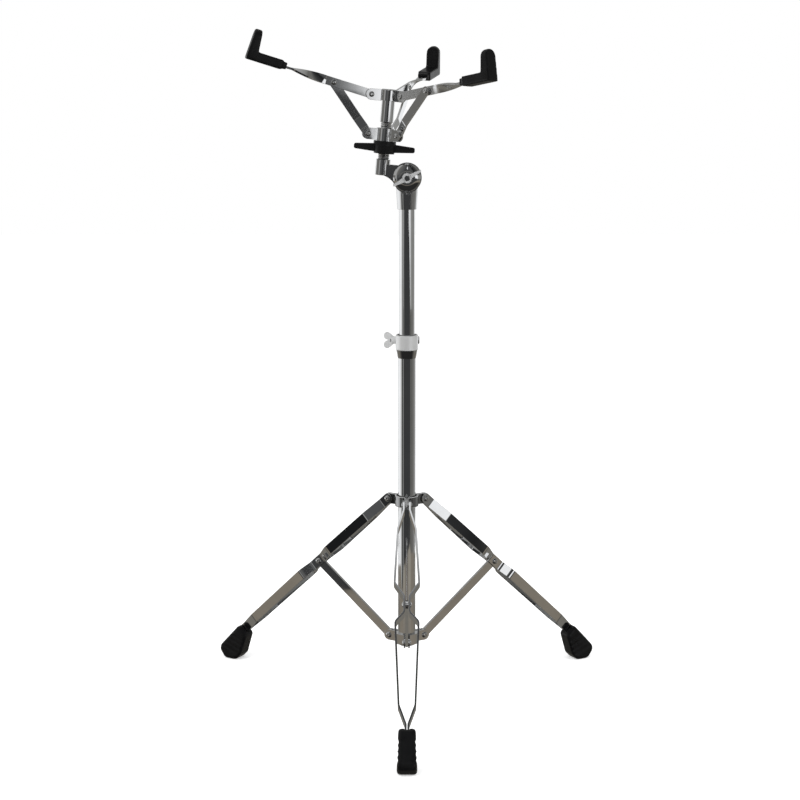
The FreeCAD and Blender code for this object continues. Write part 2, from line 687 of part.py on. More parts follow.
def make_height_clamp():
    """Split clamp on the lower tube, with its plastic bush, cross bolt and wing nut."""
    bottom = clamp_band_bottom - clamp_skirt_height
    bush_outer = upper_tube_radius + running_fit + clamp_bush_wall
    shell = turned([
        (lower_tube_radius, bottom), (lower_tube_radius + clamp_skirt_edge, bottom),
        (clamp_outer_radius - clamp_edge, clamp_band_bottom),
        (clamp_outer_radius, clamp_band_bottom + clamp_edge),
        (clamp_outer_radius, clamp_top - clamp_edge), (clamp_outer_radius - clamp_edge, clamp_top),
        (bush_outer, clamp_top), (bush_outer, lower_tube_top), (lower_tube_radius, lower_tube_top),
    ], Vec(0, 0, 1))
    low = clamp_band_bottom + clamp_lug_margin
    high = clamp_top - clamp_lug_margin
    lug = block(Vec(-clamp_lug_half, 0, low), Vec(clamp_lug_half, clamp_lug_reach, high))
    backs = [edge for edge in lug.Edges if abs(edge.CenterOfMass.y - clamp_lug_reach) < seat_gap]
    lug = lug.makeFillet(clamp_lug_round, backs)
    lug = lug.cut(cylinder(bush_outer, Vec(0, 0, low), Vec(0, 0, high)))
    lug = lug.cut(cylinder(lower_tube_radius, Vec(0, 0, low), Vec(0, 0, lower_tube_top)))
    body = joined(shell, lug)
    slit_high = Vec(clamp_slit / 2, 2 * clamp_lug_reach, clamp_top)
    slit = block(Vec(-clamp_slit / 2, 0, lower_tube_top), slit_high)
    lug_slit = block(Vec(-clamp_slit / 2, clamp_outer_radius, low), slit_high)
    bolt_y = bush_outer + clamp_bolt_radius + clamp_bolt_wall
    bolt_z = (low + high) / 2
    bolt_way = cylinder(clamp_bolt_radius + seat_gap, Vec(-2 * clamp_lug_half, bolt_y, bolt_z),
                        Vec(2 * clamp_lug_half, bolt_y, bolt_z))
    nodes["height_clamp"] = body.cut([slit, lug_slit, bolt_way])

    bush = tube(bush_outer, upper_tube_radius + running_fit, lower_tube_top, clamp_top)
    nodes["clamp_bush"] = bush.cut(slit)

    nut_face = -clamp_lug_half - side_gap
    thread_tip = nut_face - clamp_nut_hub - clamp_bolt_end
    bolt = joined(
        cylinder(clamp_bolt_radius, Vec(thread_tip, bolt_y, bolt_z), Vec(clamp_lug_half, bolt_y, bolt_z)),
        cylinder(clamp_bolt_head_radius, Vec(clamp_lug_half, bolt_y, bolt_z),
                 Vec(clamp_lug_half + clamp_bolt_head, bolt_y, bolt_z)))
    nodes["clamp_bolt"] = bolt

    hub = cylinder(clamp_nut_hub_radius, Vec(0, 0, 0), Vec(0, 0, clamp_nut_hub))
    blade = wings(clamp_nut_spread, clamp_nut_length, clamp_nut_root, clamp_nut_lobe, clamp_nut_thickness)
    nut = joined(hub, blade)
    bolt_room = clamp_nut_hub + clamp_bolt_end + side_gap
    nut = nut.cut(cylinder(clamp_bolt_radius + running_fit, Vec(0, 0, -bolt_room), Vec(0, 0, bolt_room)))
    nut = rotated(nut, Vec(0, 1, 0), -90)
    nodes["clamp_wing_nut"] = moved(nut, Vec(nut_face, bolt_y, bolt_z))


def make_upper_column():
    """Upper tube, its end plug and the plastic guide ring that runs in the lower tube."""
    bore = upper_tube_radius - upper_tube_wall
    nodes["upper_tube"] = tube(upper_tube_radius, bore, upper_tube_bottom, upper_tube_top)
    ring_top = upper_tube_bottom - side_gap
    ring_bottom = ring_top - guide_ring_height
    flange_top = ring_bottom - side_gap
    flange_radius = upper_tube_radius - side_gap
    flange_bottom = flange_top - guide_flange
    plug = turned([
        (0, flange_bottom), (flange_radius, flange_bottom), (flange_radius, flange_top),
        (guide_spigot_radius, flange_top), (guide_spigot_radius, upper_tube_bottom),
        (bore, upper_tube_bottom), (bore, upper_tube_bottom + guide_ring_height),
        (0, upper_tube_bottom + guide_ring_height),
    ], Vec(0, 0, 1))
    nodes["upper_tube_plug"] = plug
    ring_outer = lower_tube_radius - lower_tube_wall - running_fit
    nodes["guide_ring"] = tube(ring_outer, guide_spigot_radius + running_fit, ring_bottom, ring_top)


def make_tilter():
    """Tilter base on the upper tube, offset arm, and the bolt and wing nut that join them."""
    across = Vec(0, 1, 0)
    hub = Vec(0, 0, hub_height)
    face = side_gap / 2
    base_top = hub_height
    slope = (tilter_base_top_radius - tilter_base_low_radius) / (tilter_neck - tilter_disc_radius)
    top_radius = tilter_base_low_radius + slope * (base_top - tilter_base_bottom)
    cone = turned([(0, tilter_base_bottom), (tilter_base_low_radius, tilter_base_bottom),
                   (top_radius, base_top), (0, base_top)], Vec(0, 0, 1))
    saddle = cylinder(tilter_disc_radius + tilter_saddle_gap, Vec(0, -2 * top_radius, hub_height),
                      Vec(0, face, hub_height))
    arm_front = -face - tilter_disc_thickness
    washer_front = arm_front - side_gap - tilter_washer_thickness
    back = side_gap - washer_front
    rim_end = back + tilter_nut_rim
    blade_reach = math.hypot(tilter_nut_reach, tilter_nut_sweep) + tilter_nut_tip
    blade_way = cylinder(blade_reach + tilter_saddle_gap, Vec(0, -2 * top_radius, hub_height),
                         Vec(0, side_gap - rim_end, hub_height))
    disc_end = face + tilter_disc_thickness
    spot_face = cylinder(tilter_base_disc_radius, hub + across * disc_end, hub + across * (2 * top_radius))
    cone = cone.cut([saddle, blade_way, spot_face])
    disc = cylinder(tilter_base_disc_radius, hub + across * face, hub + across * disc_end)
    base = joined(cone, disc)
    base = base.cut(cylinder(upper_tube_radius, Vec(0, 0, tilter_base_bottom), Vec(0, 0, upper_tube_top)))
    bolt_way = cylinder(tilter_bolt_radius + seat_gap, hub, hub + across * (2 * top_radius))
    nodes["tilter_base"] = base.cut(bolt_way)

    arm_disc = cylinder(tilter_disc_radius, across * arm_front, across * -face)
    inside = tilter_disc_radius - web_sink
    meet = math.radians(web_under_angle)
    under_start = Vec(web_under_start - socket_offset, arm_front, 0)
    under_end = Vec(-inside * math.cos(meet), arm_front, -inside * math.sin(meet))
    chord = under_end - under_start
    chord.normalize()
    under_middle = (under_start + under_end) / 2 + Vec(-chord.z, 0, chord.x) * web_under_sag
    under = Part.Arc(under_start, under_middle, under_end).toShape()
    rest = Part.makePolygon([
        under_end, Vec(0, arm_front, 0), Vec(-web_top_end, arm_front, web_top),
        Vec(-socket_offset, arm_front, web_top), Vec(-socket_offset, arm_front, 0), under_start,
    ])
    web = Part.Face(Part.Wire([under] + rest.Edges)).extrude(Vec(0, tilter_disc_thickness, 0))
    socket = cylinder(socket_radius, Vec(-socket_offset, 0, 0), Vec(-socket_offset, 0, socket_height))
    bottom_rim = [edge for edge in socket.Edges if edge.CenterOfMass.z < seat_gap and edge.Closed]
    socket = socket.makeChamfer(socket_chamfer, bottom_rim)
    arm = joined(arm_disc, web, socket)
    socket_axis = Vec(-socket_offset, 0, socket_floor)
    arm = arm.cut(cylinder(thread_radius, socket_axis, socket_axis + Vec(0, 0, socket_height)))
    bolt_ends = across * (2 * arm_front), across * tilter_disc_radius
    arm = arm.cut(cylinder(tilter_bolt_radius + running_fit, *bolt_ends))
    nodes["tilter_arm"] = moved(rotated(arm, across, tilter_lean), hub)

    dome_front = washer_front - tilter_nut_rim - tilter_nut_dome
    hub_front = dome_front - tilter_nut_hub
    bolt_seat = hub + across * disc_end
    shank = cylinder(tilter_bolt_radius, hub + across * (hub_front - tilter_bolt_end), bolt_seat)
    head = cylinder(tilter_bolt_head_radius, bolt_seat, bolt_seat + across * tilter_bolt_head)
    nodes["tilter_bolt"] = joined(shank, head)
    washer_back = arm_front - side_gap
    washer = cylinder(tilter_washer_radius, hub + across * washer_front, hub + across * washer_back)
    bolt_room = cylinder(tilter_bolt_radius + seat_gap, hub + across * hub_front, hub)
    nodes["tilter_washer"] = washer.cut(bolt_room)

    dome_end = rim_end + tilter_nut_dome
    bore = tilter_bolt_radius + running_fit
    shoulder = Vec(tilter_nut_radius, 0, rim_end)
    crown = Vec(tilter_nut_hub_radius, 0, dome_end)
    bulge = Vec((shoulder.x + crown.x) / 2 + tilter_nut_bulge, 0, (rim_end + dome_end) / 2 + tilter_nut_bulge)
    flank = Part.makePolygon([
        crown, Vec(tilter_nut_hub_radius, 0, -hub_front), Vec(bore, 0, -hub_front), Vec(bore, 0, back),
        Vec(tilter_nut_radius, 0, back), shoulder,
    ])
    profile = Part.Wire([Part.Arc(shoulder, bulge, crown).toShape()] + flank.Edges)
    dome = Part.Face(profile).revolve(Vec(0, 0, 0), Vec(0, 0, 1), 360)
    pair = []
    blade_top = hub_front - tilter_nut_rise
    for side in (-1, 1):
        end = Vec(side * tilter_nut_reach, 0, -side * tilter_nut_sweep)
        blade = lobe(Vec(0, 0, 0), tilter_nut_root, end, tilter_nut_tip, -rim_end, blade_top)
        pair.append(rotated(blade, Vec(1, 0, 0), -90))
    blades = joined(*pair)
    blades = blades.cut(cylinder(tilter_nut_hub_radius, Vec(0, 0, 0), Vec(0, 0, -2 * hub_front)))
    nut = rotated(rotated(joined(dome, blades), Vec(0, 0, 1), tilter_nut_angle), Vec(1, 0, 0), 90)
    nodes["tilter_wing_nut"] = moved(nut, hub)


def ear(pivot_height, low, high, root):
    """Ear plate at azimuth 0 with a round end about the pivot, from low to high across."""
    near = Vec(basket_pivot_radius, low, pivot_height)
    far = Vec(basket_pivot_radius, high, pivot_height)
    plate = block(Vec(root, low, pivot_height - ear_radius), far + Vec(0, 0, ear_radius))
    hole = cylinder(basket_rivet_radius + seat_gap, near, far)
    return plate.fuse(cylinder(ear_radius, near, far)).cut(hole)


def basket_rivets(pivot_height, low_grip, high_grip):
    """A rivet for each arm, in a ring about the basket's rod."""
    solids = []
    for azimuth in arm_azimuths.values():
        pin = rivet(low_grip, high_grip, basket_rivet_radius, basket_head_radius, basket_head_height)
        pin = moved(pin, Vec(basket_pivot_radius, 0, pivot_height))
        solids.append(in_basket(rotated(pin, Vec(0, 0, 1), azimuth)))
    return Part.makeCompound(solids)


def make_basket_frame():
    """Rod, fixed ring with an ear for each arm, and the sliding collar with a clevis for each strut."""
    ring_top = ring_pivot_height + ring_height / 2
    ring_bottom = ring_pivot_height - ring_height / 2
    rod = turned([
        (0, socket_floor), (thread_radius, socket_floor), (thread_radius, thread_end),
        (rod_radius, thread_end), (rod_radius, ring_top), (0, ring_top),
    ], Vec(0, 0, 1))
    nodes["basket_rod"] = in_basket(rod)
    outer = rod_radius + ring_wall
    ring = tube(outer, rod_radius, ring_bottom, ring_top)
    arm_face = arm_thickness / 2 + side_gap
    ears = []
    for azimuth in arm_azimuths.values():
        plate = ear(ring_pivot_height, arm_face, arm_face + ear_plate, rod_radius + ring_wall / 2)
        ears.append(rotated(plate, Vec(0, 0, 1), azimuth))
    nodes["basket_ring"] = in_basket(joined(ring, *ears))
    arm_back = -arm_thickness / 2 - side_gap / 2
    nodes["ring_rivets"] = basket_rivets(ring_pivot_height, arm_back, arm_face + ear_plate)
    cap_radius = outer - rod_cap_set_in
    cap_top = ring_top + rod_cap_height
    cap = turned([(0, ring_top), (cap_radius, ring_top), (cap_radius - rod_cap_slope, cap_top), (0, cap_top)],
                 Vec(0, 0, 1))
    nodes["rod_cap"] = in_basket(cap)

    bore = rod_radius + rod_play
    collar_outer = bore + collar_wall
    collar = tube(collar_outer, bore, collar_bottom, collar_bottom + collar_height)
    half = strut_flange_gap / 2
    ears = []
    for azimuth in arm_azimuths.values():
        for low in (-half - ear_plate, half):
            plate = ear(collar_pivot_height, low, low + ear_plate, bore + collar_wall * 0.4)
            ears.append(rotated(plate, Vec(0, 0, 1), azimuth))
    collar = joined(collar, *ears)
    collar = collar.cut(cylinder(bore, Vec(0, 0, collar_bottom - ring_height), Vec(0, 0, ring_top)))
    nodes["basket_collar"] = in_basket(collar)
    nodes["strut_rivets"] = basket_rivets(collar_pivot_height, -half - ear_plate, half + ear_plate)


def twisted_bar(start, end, steps):
    """Flat strip along X that turns from on edge to flat."""
    sections = []
    for index in range(steps + 1):
        share = index / steps
        x = start + (end - start) * share
        y = arm_thickness / 2
        z = arm_width / 2
        corners = [Vec(x, -y, -z), Vec(x, y, -z), Vec(x, y, z), Vec(x, -y, z)]
        outline = Part.makePolygon(corners + corners[:1])
        outline.rotate(Vec(x, 0, 0), Vec(1, 0, 0), 90 * share)
        sections.append(outline)
    return Part.makeLoft(sections, True, False)


def arm_end():
    """Flat end of an arm, bent up inside the rubber tip."""
    upright = (tip_outer_top + tip_inner_top) / 2
    path = [Vec(arm_twist_end, 0, 0), Vec(upright, 0, 0), Vec(upright, arm_upturn_end, 0)]
    strip = bent_strip(path, arm_bend_radius, arm_thickness, arm_width)
    return rotated(strip, Vec(1, 0, 0), 90)


def tip_block():
    """L-shaped rubber tip with a stepped mouth and a round top, before its slot is cut."""
    half = tip_width / 2
    sleeve_start = tip_start + tip_step
    mouth = block(Vec(tip_start, -half + tip_step_in, -tip_below + tip_step_in),
                  Vec(sleeve_start + tip_step, half - tip_step_in, tip_above - tip_step_in))
    side_view = polygon_face([
        Vec(sleeve_start, -half, -tip_below), Vec(tip_outer, -half, -tip_below),
        Vec(tip_outer_top, -half, tip_top), Vec(tip_inner_top, -half, tip_top),
        Vec(tip_inner, -half, tip_above), Vec(sleeve_start, -half, tip_above),
    ])
    body = side_view.extrude(Vec(0, tip_width, 0))
    shoulder = tip_top - half
    below = block(Vec(tip_start, -half, -2 * tip_top), Vec(2 * tip_outer, half, shoulder))
    crown = cylinder(half, Vec(tip_start, 0, shoulder), Vec(2 * tip_outer, 0, shoulder))
    body = body.common(below.fuse(crown))
    rounded = {}
    for face in body.Faces:
        upright_face = abs(face.normalAt(0, 0).x) > 0.9
        if upright_face:
            for edge in face.Edges:
                if edge.CenterOfMass.z > tip_above + tip_edge or edge.CenterOfMass.z < tip_above - tip_edge:
                    rounded[edge.hashCode()] = edge
    return joined(body.makeFillet(tip_edge, list(rounded.values())), mouth)


def make_arms():
    """Arms, struts, their rivets and the rubber tips."""
    half = arm_thickness / 2
    blade = rounded_bar(0, arm_twist_start, arm_width / 2, -half, half)
    room = Vec(arm_width, arm_width, arm_width)
    blade = blade.common(block(room * -1, Vec(arm_twist_start, arm_width, arm_width)))
    arm = joined(blade, twisted_bar(arm_twist_start, arm_twist_end, 6), arm_end())
    for place, radius in ((0, basket_rivet_radius + running_fit), (arm_link, basket_rivet_radius + seat_gap)):
        arm = arm.cut(cylinder(radius, Vec(place, -arm_width, 0), Vec(place, arm_width, 0)))
    tip = tip_block().cut(arm)

    reach = strut_width / 2
    path = [
        Vec(-reach, 0, 0), Vec(strut_crank_start, 0, 0),
        Vec(strut_crank_end, strut_offset, 0), Vec(strut_length + reach, strut_offset, 0),
    ]
    strut = bent_strip(path, strut_bend_radius, strut_thickness, strut_width)
    strut = strut.common(rounded_bar(0, strut_length, reach, -strut_width, strut_width))
    for place, room in ((0, strut_play), (strut_length, running_fit)):
        hole_ends = Vec(place, -strut_width, 0), Vec(place, strut_width, 0)
        strut = strut.cut(cylinder(basket_rivet_radius + room, *hole_ends))

    back = strut_offset - strut_thickness / 2 - side_gap / 2
    pin = rivet(back, half, basket_rivet_radius, basket_head_radius, basket_head_height)
    for name, azimuth in arm_azimuths.items():
        nodes["arm_" + name] = in_arm(arm, azimuth)
        nodes["tip_" + name] = in_arm(tip, azimuth)
        nodes["arm_" + name + "_rivet"] = in_arm(moved(pin, Vec(arm_link, 0, 0)), azimuth)
        nodes["strut_" + name] = in_strut(strut, azimuth)


def make_basket_nut():
    """Plastic wing nut that drives the basket's collar up and down its rod."""
    body = turned([
        (thread_radius + running_fit, nut_bottom), (nut_low_radius, nut_bottom),
        (nut_top_radius, nut_top - nut_top_band), (nut_top_radius, nut_top),
        (thread_radius + running_fit, nut_top),
    ], Vec(0, 0, 1))
    middle = nut_top - nut_wing_drop
    half = nut_span / 2
    outline = [
        Vec(-half, 0, middle - nut_wing_tip / 2), Vec(0, 0, middle - nut_wing_root / 2),
        Vec(half, 0, middle - nut_wing_tip / 2), Vec(half, 0, middle + nut_wing_tip / 2),
        Vec(0, 0, middle + nut_wing_root / 2), Vec(-half, 0, middle + nut_wing_tip / 2),
    ]
    blade = polygon_face(outline).extrude(Vec(0, nut_wing_thickness, 0))
    blade = moved(blade, Vec(0, -nut_wing_thickness / 2, 0))
    ends = []
    for edge in blade.Edges:
        middle_point = edge.CenterOfMass
        if abs(middle_point.x) > half - seat_gap and abs(middle_point.y) < seat_gap:
            ends.append(edge)
    blade = blade.makeFillet(nut_wing_round, ends)
    bore = cylinder(thread_radius + running_fit, Vec(0, 0, nut_bottom), Vec(0, 0, nut_top))
    nodes["basket_wing_nut"] = in_basket(joined(body, blade).cut(bore))


make_base()
make_legs()
make_stays()
make_leg_collar()
make_height_clamp()
make_upper_column()
make_tilter()
make_basket_frame()
make_arms()
make_basket_nut()

os.makedirs("parts", exist_ok=True)
for name, shape in nodes.items():
    shape.exportStep("parts/" + name + ".step")
    print(name, "solids", len(shape.Solids), "valid", shape.isValid(), "volume", round(shape.Volume, 1))
print(len(nodes), "nodes")
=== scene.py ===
import json
import math

import bmesh
import bpy
from mathutils import Matrix, Vector


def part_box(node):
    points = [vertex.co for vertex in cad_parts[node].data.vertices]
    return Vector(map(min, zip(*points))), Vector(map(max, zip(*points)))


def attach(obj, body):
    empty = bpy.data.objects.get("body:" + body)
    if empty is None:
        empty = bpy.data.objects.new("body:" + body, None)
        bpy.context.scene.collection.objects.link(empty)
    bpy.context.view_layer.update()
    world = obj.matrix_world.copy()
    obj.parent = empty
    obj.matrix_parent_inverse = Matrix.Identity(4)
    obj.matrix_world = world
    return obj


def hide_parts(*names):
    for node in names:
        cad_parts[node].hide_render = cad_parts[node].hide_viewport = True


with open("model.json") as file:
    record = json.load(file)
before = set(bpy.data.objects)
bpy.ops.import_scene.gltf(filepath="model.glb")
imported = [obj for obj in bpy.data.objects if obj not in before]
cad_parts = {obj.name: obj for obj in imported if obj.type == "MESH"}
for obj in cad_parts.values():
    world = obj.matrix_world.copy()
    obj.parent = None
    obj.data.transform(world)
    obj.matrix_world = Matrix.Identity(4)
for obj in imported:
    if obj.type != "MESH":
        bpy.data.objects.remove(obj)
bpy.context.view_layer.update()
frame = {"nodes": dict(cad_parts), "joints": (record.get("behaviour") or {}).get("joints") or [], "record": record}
joints = {joint["name"]: joint for joint in frame["joints"]}

MM = 0.001

# Camera: the place, pitch and lens that put the legs' rivets where the photograph has them
CAMERA_AT = Vector((-4.3, -2529.3, 915.2)) * MM
CAMERA_PITCH = 10.714
CAMERA_YAW = 0.125
CAMERA_LENS = 81.0
CAMERA_SENSOR = 36.0
CAMERA_REACH = 100.0

# Floor and lamps
FLOOR_SIZE = 14.0
WHITE = (1.0, 1.0, 1.0, 1.0)
FLOOR_COLOUR = (0.93, 0.93, 0.93, 1.0)
FLOOR_GLOW = 0.35           # added to the floor for the camera alone
SOFT_LIGHT = (0.8, 0.8, 0.8, 1.0)
LAMP_TARGET = Vector((0.0, 0.0, 0.5))
LAMPS = [                   # name, place, size and watts
    ("key", (-1.6, -1.8, 2.6), 1.4, 45.0),
    ("fill", (2.2, -1.2, 1.8), 1.6, 25.0),
]

# Studio that the chrome mirrors, by degrees from the front (to the right positive) and above the horizon
SOFT_WHITE = (0.97, 0.98, 0.99, 1.0)
PALE_GREY = (0.68, 0.68, 0.68, 1.0)
LIGHT_GREY = (0.385, 0.385, 0.38, 1.0)
MIDDLE_GREY = (0.275, 0.275, 0.265, 1.0)
SHADE = (0.155, 0.152, 0.143, 1.0)
DUSK = (0.083, 0.085, 0.087, 1.0)
DARK = (0.044, 0.045, 0.046, 1.0)
BLACK = (0.012, 0.0125, 0.013, 1.0)
# At eye level: grey walls to the sides, white behind the stand with a dark doorway in its middle
EYE_RING = [
    (-180, DUSK), (-163, DUSK), (-156, SOFT_WHITE), (-135, SOFT_WHITE), (-121, MIDDLE_GREY), (-104, SHADE),
    (-66, SHADE), (-56, LIGHT_GREY), (-50, LIGHT_GREY), (-44, DUSK), (-24, DUSK), (0, SHADE), (14, SHADE),
    (20, DUSK), (48, LIGHT_GREY), (54, LIGHT_GREY), (66, MIDDLE_GREY), (86, MIDDLE_GREY), (103, SHADE),
    (125, MIDDLE_GREY), (138, SOFT_WHITE), (156, SOFT_WHITE), (163, DUSK), (180, DUSK),
]
# A soft box stands at the right of the camera; its near corner hangs lower
BOX_SIDES = ((20.9, 23.0), (47, 54))
CORNER_SIDES = ((22.15, 22.45), (25, 26))
CORNER_DROP = -2.0
# Above: a dim ceiling with one narrow light strip over the camera, and white overhead
UPPER_RING = [
    (-180, LIGHT_GREY), (-125, MIDDLE_GREY), (-75, LIGHT_GREY), (-58, LIGHT_GREY), (-46, SHADE),
    (-12, DUSK), (-2, DARK), (14, DUSK), (26, BLACK), (50, DARK), (75, SHADE), (110, SHADE),
    (140, MIDDLE_GREY), (180, LIGHT_GREY),
]
UPPER_START = (6, 9)
ZENITH_START = (76.3, 82)
STRIP_SIDES = ((-0.1, 0.3), (3.0, 4.5))
STRIP_ENDS = ((22, 26), (46, 56))
# Below eye level: a dark room in front, a white wall at the left, a dim one at the right
LOW_RING = [
    (-180, DARK), (-163, DARK), (-156, SOFT_WHITE), (-100, SOFT_WHITE), (-82, PALE_GREY), (-70, MIDDLE_GREY),
    (-63, DARK), (-59, BLACK), (-55, BLACK), (-52, MIDDLE_GREY), (-46, MIDDLE_GREY), (-41, DARK), (43, DARK),
    (46, SHADE), (53, SHADE), (55.5, DARK), (58, BLACK), (60.2, SHADE), (94, SHADE), (106, MIDDLE_GREY),
    (130, MIDDLE_GREY), (142, SOFT_WHITE), (156, SOFT_WHITE), (163, DARK), (180, DARK),
]
LOW_TOP = (0.68, -7.82)     # top of the dark room in front and where it is lowest
LOW_TURN = 50               # degrees to the side where it is lowest
LEFT_TOP = (-68, -55, 5.5)  # between these degrees the wall at the left stands this much higher
LOW_BLUR = (-0.03, 0.03)

# Table below the dark room: warm, lit along its far edge, dark close to the camera
TABLE_TOP = (-16.23, -16.07)
TABLE_TILT = (62, 0.6)      # its edge stands this much higher at these degrees to the right
LEFT_EDGE = (-84, -72, 0.8)  # and higher again at the left wall
TABLE_BOW = (40, 58, 0.5)   # and in front
TABLE_GLOW = (-19.5, -16.2)
TABLE_FOOT = (-25, -20)
NEAR_TABLE = (0.023, 0.0225, 0.022, 1.0)
WARM_TABLE = (0.155, 0.137, 0.117, 1.0)
LIT_TABLE = (0.30, 0.278, 0.237, 1.0)
SIDE_TABLE = (0.223, 0.198, 0.162, 1.0)
BACK_TABLE = (0.182, 0.173, 0.153, 1.0)
TABLE_RING = [
    (-180, BACK_TABLE), (-115, BACK_TABLE), (-85, SIDE_TABLE), (-55, SIDE_TABLE), (-35, WARM_TABLE),
    (35, WARM_TABLE), (55, SIDE_TABLE), (85, SIDE_TABLE), (115, BACK_TABLE), (180, BACK_TABLE),
]
EDGE_RING = [
    (-180, BACK_TABLE), (-85, SIDE_TABLE), (-55, SIDE_TABLE), (-40, LIT_TABLE), (-24, LIT_TABLE),
    (-10, WARM_TABLE), (10, WARM_TABLE), (24, LIT_TABLE), (50, LIT_TABLE), (60, SIDE_TABLE),
    (180, BACK_TABLE),
]
NEAR_RING = [
    (-180, BACK_TABLE), (-100, BACK_TABLE), (-65, NEAR_TABLE), (65, NEAR_TABLE), (100, BACK_TABLE),
    (180, BACK_TABLE),
]

# Chrome: colour, roughness, waviness of the pressing or casting, and rounding of its edges
CHROME = (0.88, 0.885, 0.89, 1.0)
HAZE = (35.0, 6.0, 0.65)    # scale, detail and roughness of the handling haze
HAZE_STOPS = (0.3, 0.7)
HAZE_SHADE = 0.90
HAZE_SPAN = (0.3, 0.8)
HAZE_ROUGH = 0.03
WAVE = (28.0, 2.0)          # scale and detail
WAVE_DEPTH = 2.0 * MM
EDGE_ROUND = 0.45 * MM
EDGE_SAMPLES = 6
PLATE_ROUGH = 0.015
PLATE_WAVE = 0.012
ARM_ROUGH = 0.22            # brushed by its twist
CAST_SHADE = 0.97
CAST_ROUGH = 0.05
CAST_WAVE = 0.08

# Plates of the leg collar: rounded edges, rough and partly non-metal, that show a painted highlight along the
# rims, and faces darkened with painted shade
COLLAR_ROUND = 1.5 * MM
COLLAR_WAVE = 0.02
COLLAR_TURN = (0.88, 0.98)  # how far an edge turns from its face
# Painted shade: the plates' faces keep this share of the chrome's brightness
COLLAR_FACE_PAINTED_SHADE = 0.45
COLLAR_ROUGH = (0.45, 0.04)  # edge and face
# Metal of edge and face; the partly non-metal edges are a painted highlight along the rims
COLLAR_METAL = (0.3, 1.0)

# Satin castings: share of metal and roughness, and where they turn to polish
SATIN = (0.74, 0.745, 0.745, 1.0)
SATIN_METAL = 0.55
SATIN_ROUGH = 0.32
SATIN_WAVE = 0.05
WING_METAL = 0.25
CLAMP_BAND = 21.0           # satin band of the clamp, below its top
CLAMP_TURN = 0.4
SKIRT_ROUGH = 0.06
NUT_WINGS = 7.0             # satin wings of the tilter's nut, behind its front
NUT_TURN = 0.6
NUT_METAL = 0.62
NUT_ROUGH = (0.16, 0.05)    # wings and dome

# Moulded pieces: colour, then roughness, gloss, scale and depth of the grain, and rounding of the edges
RUBBER = (0.003, 0.003, 0.0032, 1.0)
PLASTIC = (0.004, 0.004, 0.0042, 1.0)
NYLON = (0.012, 0.012, 0.012, 1.0)
RUBBER_FINISH = (0.3, 0.3, 2600.0, 0.03 * MM, 1.6 * MM)
PLASTIC_FINISH = (0.34, 0.3, 1800.0, 0.04 * MM, 1.0 * MM)
NYLON_FINISH = (0.45, 0.3, 1500.0, 0.05 * MM, 0.3 * MM)
DUST = (45.0, 5.0, 0.6)     # scale, detail and roughness
DUST_STOPS = (0.35, 0.75)
DUST_SHADE = 2.0
GLOSS_SPAN = (0.3, 0.7)
GLOSS_SPREAD = 0.06
GRAIN_DETAIL = 3.0
GRAIN_STRENGTH = 0.35

# Rounded rubber tips and feet
RUBBER_VOXEL = 0.8
ROUND_FACTOR = 0.5
TIP_ROUNDS = 24
FOOT_ROUNDS = 20

# Basket rod, in heights along the basket's axis
NUT_JOINT_HEIGHT = 39.0
SOCKET_FLOOR = 4.0
THREAD_START = 19.0
THREAD_END = 73.0
THREAD_RADIUS = 8.1
THREAD_PITCH = 3.0          # the collar's rise for each turn of the nut
THREAD_DEPTH = 1.0
THREAD_STEPS = 8
ROD_RADIUS = 9.2
ROD_EDGE = 0.8
COLLAR_BELOW_RING = 53.956  # collar rivets below the ring rivets

# Bolts
CLAMP_BOLT = {
    "radius": 3.0, "pitch": 1.0, "depth": 0.5, "thread": 14.0, "head": 4.0, "head_radius": 5.5,
}
TILTER_BOLT = {
    "radius": 4.0, "pitch": 1.25, "depth": 0.6, "thread": 16.0, "head": 4.5, "head_radius": 8.0,
}
CLAMP_SOCKET = 5.0          # across the flats
BOLT_EDGE = 0.7

# Rivets
LEG_RIVET = (2.5, 4.6, 2.0)  # radius of the shank, radius and height of the heads
BASKET_RIVET = (2.0, 3.9, 1.4)
# Shape of a head from its dimple to its rim, as shares of its radius and height
HEAD_SHAPE = [
    (0.24, 0.74), (0.30, 0.95), (0.36, 1.0), (0.52, 0.92),
    (0.72, 0.74), (0.88, 0.49), (0.98, 0.2), (1.0, 0.0),
]
RING_SIDES = 48             # a multiple of six, so that hexagons keep their corners
SHARP_ANGLE = 42


def new_material(name):
    """Empty node material with its output node."""
    material = bpy.data.materials.new(name)
    material.use_nodes = True
    tree = material.node_tree
    tree.nodes.clear()
    output = tree.nodes.new("ShaderNodeOutputMaterial")
    return material, tree, output


def find_node(tree, kind):
    """First node of a kind."""
    return next(node for node in tree.nodes if node.type == kind)


def add_place(tree, kind):
    """The three parts of a texture coordinate."""
    coordinates = tree.nodes.new("ShaderNodeTexCoord")
    parts = tree.nodes.new("ShaderNodeSeparateXYZ")
    tree.links.new(coordinates.outputs[kind], parts.inputs["Vector"])
    return parts.outputs


def add_noise(tree, scale, detail, roughness=0.5):
    """Noise in the object's own metres."""
    coordinates = tree.nodes.new("ShaderNodeTexCoord")
    noise = tree.nodes.new("ShaderNodeTexNoise")
    noise.inputs["Scale"].default_value = scale
    noise.inputs["Detail"].default_value = detail
    noise.inputs["Roughness"].default_value = roughness
    tree.links.new(coordinates.outputs["Object"], noise.inputs["Vector"])
    return noise.outputs["Fac"]


def add_range(tree, source, low, high, new_low, new_high, smooth=False):
    """Maps a value from one range to another."""
    mapper = tree.nodes.new("ShaderNodeMapRange")
    if smooth:
        mapper.interpolation_type = "SMOOTHSTEP"
    mapper.inputs["From Min"].default_value = low
    mapper.inputs["From Max"].default_value = high
    mapper.inputs["To Min"].default_value = new_low
    mapper.inputs["To Max"].default_value = new_high
    tree.links.new(source, mapper.inputs["Value"])
    return mapper.outputs["Result"]


